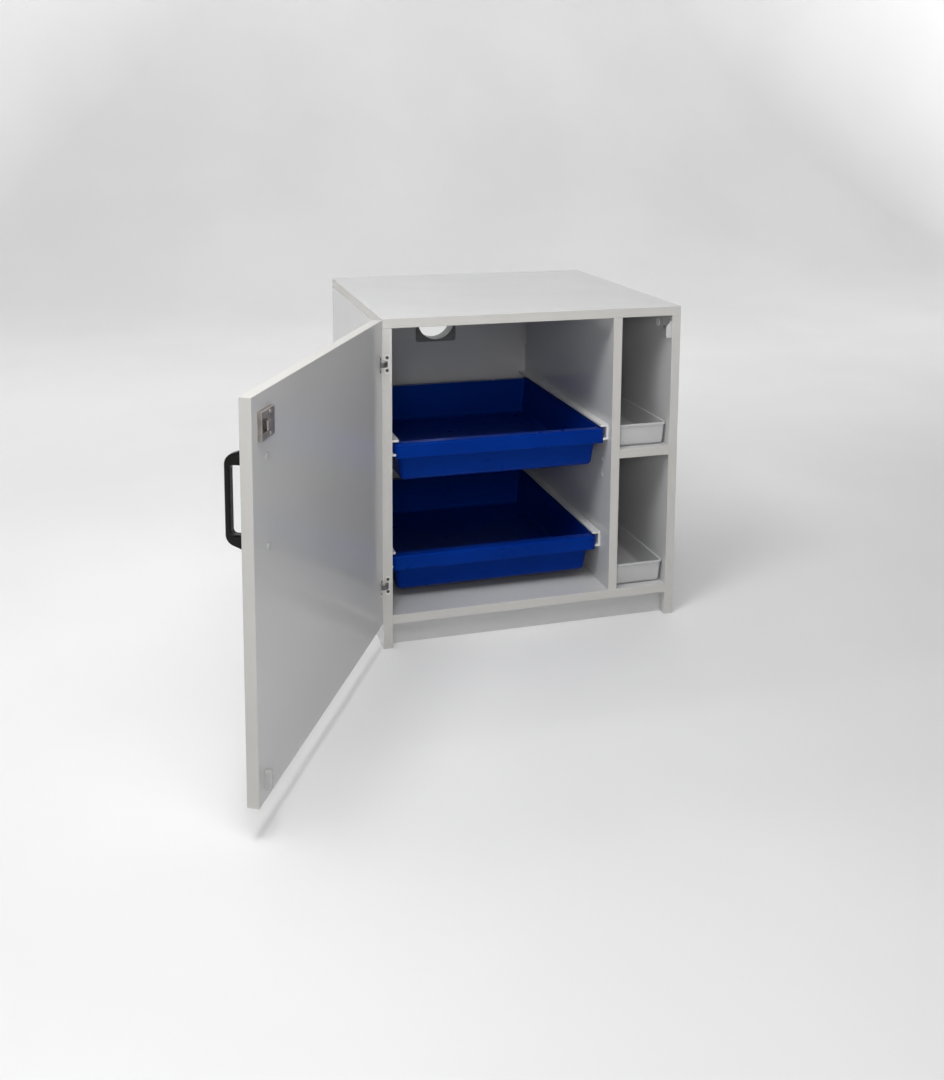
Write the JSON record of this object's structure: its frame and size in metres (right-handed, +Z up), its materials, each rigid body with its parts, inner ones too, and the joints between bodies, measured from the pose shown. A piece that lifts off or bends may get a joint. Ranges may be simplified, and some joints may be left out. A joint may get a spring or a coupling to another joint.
{
  "type": "corrosive storage cabinet",
  "caption": "Under-bench cabinet for corrosive liquids: white coated-board carcass, left-hung lockable door, blue sliding spill trays, narrow side bay with trays, and a rear exhaust spigot.",
  "frame": {"origin": "on the floor, in the middle of the plinth board's underside", "axes": "+Z up, -Y to the front where the door is, +Y to the rear along the duct spigot, +X to the right"},
  "size_m": [0.918, 1.0926, 0.635],
  "materials": {
    "white_board": "white melamine-faced particle board, satin gloss",
    "edge_band": "plastic edge band, warm light grey, satin",
    "beech_dowel": "plain beech",
    "cast_zinc": "die-cast, matt grey",
    "zinc_steel": "zinc plated",
    "white_plastic": "white plastic, satin",
    "blue_plastic": "royal blue moulded polypropylene, satin",
    "light_grey_plastic": "light grey moulded plastic",
    "grey_plastic": "grey moulded polypropylene",
    "nickel_steel": "nickel plated, satin",
    "dark_steel": "blackened steel",
    "black_plastic": "black moulded nylon, satin",
    "lock_steel": "dark nickel plated sheet, polished",
    "lock_nickel": "nickel plated",
    "white_steel": "white powder coat"
  },
  "bodies": {
    "carcass": {"top_panel": "white_board", "left_side_panel": "white_board", "right_side_panel": "white_board", "bottom_panel": "white_board", "partition_panel": "white_board", "side_shelf": "white_board", "back_panel": "white_board", "plinth_board": "white_board", "top_edge_bands": "edge_band", "left_side_edge_band": "edge_band", "right_side_edge_band": "edge_band", "bottom_edge_band": "edge_band", "partition_edge_band": "edge_band", "shelf_edge_band": "edge_band", "carcass_dowels": "beech_dowel", "cam_housings": "cast_zinc", "cam_bolts": "zinc_steel", "cam_covers": "white_plastic", "partition_plugs": "white_plastic", "upper_left_runner": "white_plastic", "upper_right_runner": "white_plastic", "lower_left_runner": "white_plastic", "lower_right_runner": "white_plastic", "runner_screws": "zinc_steel", "duct_spigot": "grey_plastic", "duct_screws": "zinc_steel", "strike_angle": "white_steel", "strike_screws": "zinc_steel", "lower_hinge_carcass_leaf": "nickel_steel", "upper_hinge_carcass_leaf": "nickel_steel", "carcass_hinge_screws": "dark_steel"},
    "door": {"door_panel": "white_board", "door_edge_bands": "edge_band", "door_hinge_screws": "dark_steel", "door_handle": "black_plastic", "handle_screws": "zinc_steel", "handle_screw_caps": "white_plastic", "lock_case": "lock_steel", "lock_case_screws": "lock_steel", "lock_cylinder": "lock_nickel", "lower_hinge_door_leaf": "nickel_steel", "upper_hinge_door_leaf": "nickel_steel", "run_up_block": "white_plastic", "run_up_screw": "zinc_steel"},
    "hinge_arms": {"lower_hinge_arm": "zinc_steel", "upper_hinge_arm": "zinc_steel"},
    "upper_tray": {"upper_tray": "blue_plastic"},
    "lower_tray": {"lower_tray": "blue_plastic"},
    "upper_side_tray": {"upper_side_tray": "light_grey_plastic"},
    "lower_side_tray": {"lower_side_tray": "light_grey_plastic"},
    "lock_plug": {"lock_plug": "lock_nickel"},
    "lock_bolt": {"lock_bolt": "lock_steel"}
  },
  "joints": [
    {"name": "door_hinge", "type": "hinge", "parent": "carcass", "child": "door", "pos_m": [-0.3, -0.0295, 0], "axis": [0, 0, -1], "range_deg": [-118.4, 0]},
    {"name": "hinge_arm_swing", "type": "hinge", "parent": "carcass", "child": "hinge_arms", "pos_m": [-0.3, -0.0295, 0], "axis": [0, 0, -1], "range_deg": [-59.2, 0]},
    {"name": "upper_tray_slide", "type": "slide", "parent": "carcass", "child": "upper_tray", "axis": [0, -1, 0], "range_m": [0, 0.3]},
    {"name": "lower_tray_slide", "type": "slide", "parent": "carcass", "child": "lower_tray", "axis": [0, -1, 0], "range_m": [0, 0.3]},
    {"name": "upper_side_tray_slide", "type": "slide", "parent": "carcass", "child": "upper_side_tray", "axis": [0, -1, 0], "range_m": [0, 0.3]},
    {"name": "lower_side_tray_slide", "type": "slide", "parent": "carcass", "child": "lower_side_tray", "axis": [0, -1, 0], "range_m": [0, 0.3]},
    {"name": "lock_turn", "type": "hinge", "parent": "door", "child": "lock_plug", "pos_m": [-0.56227, -0.51351, 0.58317], "axis": [0.8796, -0.4756, 0], "range_deg": [0, 90]},
    {"name": "lock_bolt_slide", "type": "slide", "parent": "door", "child": "lock_bolt", "axis": [-0.4756, -0.8796, 0], "range_m": [0, 0.008]}
  ],
  "couplings": [
    {"joint": "hinge_arm_swing", "follows": "door_hinge", "ratio": 0.5},
    {"joint": "lock_bolt_slide", "follows": "lock_turn", "m_per_rad": 0.005093}
  ]
}
